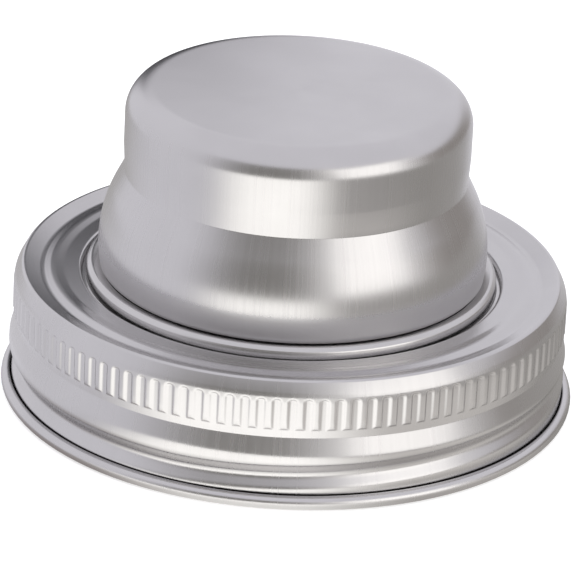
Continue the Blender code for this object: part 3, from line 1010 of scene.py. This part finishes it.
seal_section = bent(
    [
        (SEAL_JOIN, SEAL_TOP, 0.0),
        (SEAL_RADIUS, SEAL_TOP, SEAL_ROUND),
        (SEAL_RADIUS, SEAL_FOOT, SEAL_ROUND),
        (SEAL_BORE, SEAL_FOOT, SEAL_ROUND),
        (SEAL_BORE, SEAL_TOP, SEAL_ROUND),
        (SEAL_JOIN, SEAL_TOP, 0.0),
    ],
    15.0,
)[:-1]
seal_mesh = bmesh.new()
seal_rings = add_rings(seal_mesh, lambda angle: seal_section, [SEAL_COLUMNS] * len(seal_section))
for first, second in zip(seal_rings, seal_rings[1:] + seal_rings[:1]):
    join_rings(seal_mesh, first, second)
bmesh.ops.recalc_face_normals(seal_mesh, faces=seal_mesh.faces)
seal_data = bpy.data.meshes.new("jar_seal_detailed")
seal_mesh.to_mesh(seal_data)
seal_mesh.free()
seal_data.shade_smooth()
jar_seal = bpy.data.objects.new("jar_seal_detailed", seal_data)
bpy.context.scene.collection.objects.link(jar_seal)

silicone = bpy.data.materials.new("pale_silicone")
silicone.use_nodes = True
tree = silicone.node_tree
shader = tree.nodes["Principled BSDF"]
shader.inputs["Subsurface Weight"].default_value = 0.15
shader.inputs["Subsurface Radius"].default_value = (0.001, 0.001, 0.001)
place = tree.nodes.new("ShaderNodeTexCoord")
dust = tree.nodes.new("ShaderNodeTexNoise")
dust.inputs["Scale"].default_value = 600.0
dust.inputs["Detail"].default_value = 4.0
connect(tree, place.outputs["Object"], dust.inputs["Vector"])
seal_colour = blend_colours(tree, dust.outputs["Fac"], SEAL_PALE, SEAL_WHITE)
connect(tree, seal_colour, shader.inputs["Base Color"])
seal_roughness = smooth_between(tree, dust.outputs["Fac"], 0.3, 0.7, 0.48, 0.62)
connect(tree, seal_roughness, shader.inputs["Roughness"])
seal_data.materials.append(silicone)
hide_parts("jar_seal")
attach(jar_seal, "insert")


# Cap
# Drawn from one disc of sheet and brushed up its sides: a bellied skirt, a crisp waist, a
# nearly straight neck and a flat top with a rounded edge. It pushes over the strainer's collar.

CAP_SHEET = 0.0006
CAP_COLUMNS = 256
CAP_FOOT = 0.01755
CAP_TOP = 0.0422
BELLY_RADIUS = 0.0255
BELLY_HEIGHT = 0.0207
BELLY_CURVE = 0.0169
FLANK_ANGLE = radians(26.5)
WAIST_RADIUS = 0.0224
NECK_RADIUS = 0.0226
NECK_LINE = 0.0343
CAP_CORNER_REACH = 0.0037
CAP_CORNER_DROP = 0.0037
RIM_ROUND = 0.0002
CURVE_STEPS = 24
CROWN_RINGS = (0.0003, 0.0010, 0.0030, 0.0060, 0.0100, 0.0150)

rim_angle = -asin((BELLY_HEIGHT - CAP_FOOT - RIM_ROUND) / BELLY_CURVE)
belly_centre = BELLY_RADIUS - BELLY_CURVE
belly = []
for index in range(CURVE_STEPS + 1):
    angle = rim_angle + (FLANK_ANGLE - rim_angle) * index / CURVE_STEPS
    belly.append((belly_centre + BELLY_CURVE * cos(angle), BELLY_HEIGHT + BELLY_CURVE * sin(angle)))
waist_height = belly[-1][1] + (belly[-1][0] - WAIST_RADIUS) / tan(FLANK_ANGLE)
neck = bent(
    [
        (*belly[-1], 0.0),
        (WAIST_RADIUS, waist_height, 0.0004),
        (NECK_RADIUS, NECK_LINE, 0.0040),
        (NECK_RADIUS, CAP_TOP - CAP_CORNER_DROP, 0.0),
    ],
    6.0,
)
neck = refined(neck[1:], 0.0008)
corner_path = []
for index in range(1, CURVE_STEPS + 1):
    angle = pi / 2.0 * index / CURVE_STEPS
    corner_path.append(
        (
            NECK_RADIUS - CAP_CORNER_REACH * (1.0 - cos(angle)),
            CAP_TOP - CAP_CORNER_DROP * (1.0 - sin(angle)),
        )
    )
crown = [(NECK_RADIUS - CAP_CORNER_REACH - inwards, CAP_TOP) for inwards in CROWN_RINGS]
cap_path = [(belly[0][0] - RIM_ROUND, CAP_FOOT)] + belly + neck + corner_path + crown
cap_inside = other_side(cap_path, -CAP_SHEET)
cap_piece = turned_piece(
    "cap_detailed",
    lambda angle: cap_path,
    lambda angle: cap_inside,
    [CAP_COLUMNS] * len(cap_path),
    [CAP_COLUMNS] * len(cap_path),
    True,
)
cap_steel = brushed_steel(
    "cap_brushed_steel",
    colour=(0.60, 0.59, 0.595),
    roughness=0.26,
    anisotropy=0.4,
    streak_strength=0.22,
    streak_stretch=0.15,
    shaded_channel=None,
    dull_foot=0.0200,
)
cap_piece.data.materials.append(cap_steel)
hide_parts("cap")
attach(cap_piece, "cap")
